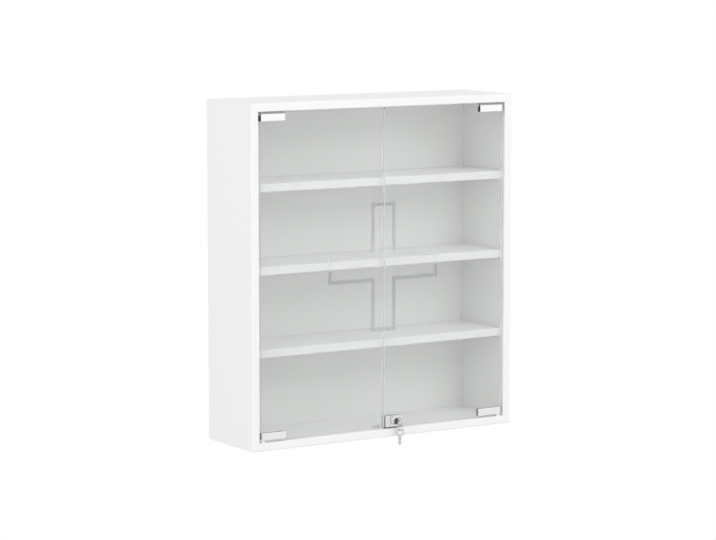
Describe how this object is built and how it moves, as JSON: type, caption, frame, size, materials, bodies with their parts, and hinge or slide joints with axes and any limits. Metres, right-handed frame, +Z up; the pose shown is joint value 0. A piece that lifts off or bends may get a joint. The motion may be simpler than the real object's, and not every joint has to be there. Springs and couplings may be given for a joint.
{
  "type": "medicine cabinet",
  "caption": "Wall-hung white cabinet for medicines with inset glass doors on clamp pivots, loose shelves and a key lock that throws a bolt behind both doors.",
  "frame": {"origin": "in the wall plane, midway between the round entries of the two keyhole hangers", "axes": "+X to the right seen from the front, +Y from the front towards the wall, +Z up"},
  "size_m": [0.6, 0.1913, 0.6802],
  "materials": {
    "white_board": "satin white foil on board",
    "bare_board": "sawn, unpainted",
    "beech": "pressed and unfinished",
    "white_metal": "white powder coat",
    "glass": "clear, polished edges",
    "clear_plastic": "clear and soft",
    "gasket": "matt black",
    "soft_grey": "soft, grey",
    "chrome": "bright plated",
    "black_coat": "black, satin",
    "steel": "zinc plated",
    "zinc": "die-cast, matt plated",
    "key_nickel": "nickel plated, satin",
    "brass": "machined",
    "nylon": "natural nylon"
  },
  "bodies": {
    "cabinet": {"left_side_panel": "white_board", "right_side_panel": "white_board", "top_panel": "white_board", "bottom_panel": "white_board", "corner_biscuits": "beech", "back_panel": "white_board", "upper_back_rail": "bare_board", "lower_back_rail": "bare_board", "rail_dowels": "beech", "left_hanger_plate": "steel", "right_hanger_plate": "steel", "hanger_screws": "steel", "shelf_pins": "steel", "pivot_bushes": "nylon", "floor_strike": "white_metal", "strike_screws": "steel"},
    "shelf_upper": {"upper_shelf": "white_board"},
    "shelf_middle": {"middle_shelf": "white_board"},
    "shelf_lower": {"lower_shelf": "white_board"},
    "left_door": {"left_glass": "glass", "left_upper_clamp": "chrome", "left_lower_clamp": "chrome", "left_upper_liner": "gasket", "left_lower_liner": "gasket", "left_buffer": "soft_grey", "left_pivot_pins": "steel", "left_clamp_screws": "steel", "left_keeper": "clear_plastic"},
    "right_door": {"right_glass": "glass", "right_upper_clamp": "chrome", "right_lower_clamp": "chrome", "right_upper_liner": "gasket", "right_lower_liner": "gasket", "right_buffer": "soft_grey", "right_pivot_pins": "steel", "right_clamp_screws": "steel", "lock_plate": "chrome", "lock_pads": "gasket", "lock_case": "zinc", "lock_cover": "zinc", "lock_cover_screws": "steel", "cylinder_housing": "chrome", "cylinder_nut": "brass"},
    "plug": {"lock_plug": "black_coat", "lock_wafers": "brass", "drive_lever": "steel", "drive_pin": "steel"},
    "bolt": {"lock_bolt": "steel"},
    "key_in_lock": {"key": "key_nickel"},
    "ring": {"key_ring": "key_nickel"},
    "spare": {"spare_key": "key_nickel"}
  },
  "joints": [
    {"name": "left_door_hinge", "type": "hinge", "parent": "cabinet", "child": "left_door", "pos_m": [-0.2745, -0.164, -0.2925], "axis": [0, 0, -1], "range_deg": [0, 110]},
    {"name": "right_door_hinge", "type": "hinge", "parent": "cabinet", "child": "right_door", "pos_m": [0.2745, -0.164, -0.2925], "axis": [0, 0, 1], "range_deg": [0, 110]},
    {"name": "upper_shelf_lift", "type": "slide", "parent": "cabinet", "child": "shelf_upper", "axis": [0, 0, 1], "range_m": [0, 0.02]},
    {"name": "middle_shelf_lift", "type": "slide", "parent": "cabinet", "child": "shelf_middle", "axis": [0, 0, 1], "range_m": [0, 0.02]},
    {"name": "lower_shelf_lift", "type": "slide", "parent": "cabinet", "child": "shelf_lower", "axis": [0, 0, 1], "range_m": [0, 0.02]},
    {"name": "lock_turn", "type": "hinge", "parent": "right_door", "child": "plug", "pos_m": [0.026, -0.16, -0.595], "axis": [0, 1, 0], "range_deg": [0, 90]},
    {"name": "bolt_throw", "type": "slide", "parent": "right_door", "child": "bolt", "axis": [-1, 0, 0], "range_m": [0, 0.01061]},
    {"name": "key_pull", "type": "slide", "parent": "plug", "child": "key_in_lock", "axis": [0, -1, 0], "range_m": [0, 0.02]},
    {"name": "ring_hang", "type": "hinge", "parent": "key_in_lock", "child": "ring", "pos_m": [0.026, -0.1836, -0.6024], "axis": [0, 1, 0], "range_deg": [-90, 0]},
    {"name": "spare_swing", "type": "hinge", "parent": "ring", "child": "spare", "pos_m": [0.026, -0.1836, -0.61245], "axis": [1, 0, 0], "range_deg": [-12, 25]}
  ],
  "couplings": [
    {"joint": "lock_turn", "follows": "bolt_throw", "rad_per_m": 148.1},
    {"joint": "ring_hang", "follows": "bolt_throw", "rad_per_m": -148.1}
  ]
}
